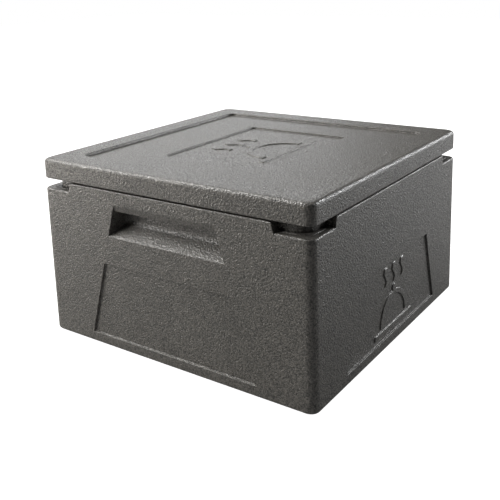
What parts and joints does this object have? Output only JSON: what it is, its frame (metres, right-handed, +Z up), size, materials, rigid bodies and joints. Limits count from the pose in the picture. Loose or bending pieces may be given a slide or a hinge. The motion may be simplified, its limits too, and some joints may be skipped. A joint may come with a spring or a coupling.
{
  "type": "insulated food carrier",
  "caption": "Square bead-foam box with a thick lift-off lid, recessed hand pockets, shallow label fields and corner notches for the fingers.",
  "frame": {"origin": "middle of the underside of the stacking foot", "axes": "+Z up, -Y and +Y towards the sides with hand pockets, -X and +X towards the plain sides"},
  "size_m": [0.41, 0.41, 0.243],
  "materials": {
    "bead_foam": "charcoal moulded bead foam, fine pebbled skin"
  },
  "bodies": {
    "box": {"box_body": "bead_foam"},
    "lid": {"lid": "bead_foam"}
  },
  "joints": [
    {"name": "lid_lift", "type": "slide", "parent": "box", "child": "lid", "axis": [0, 0, 1], "range_m": [0, 0.12]}
  ]
}
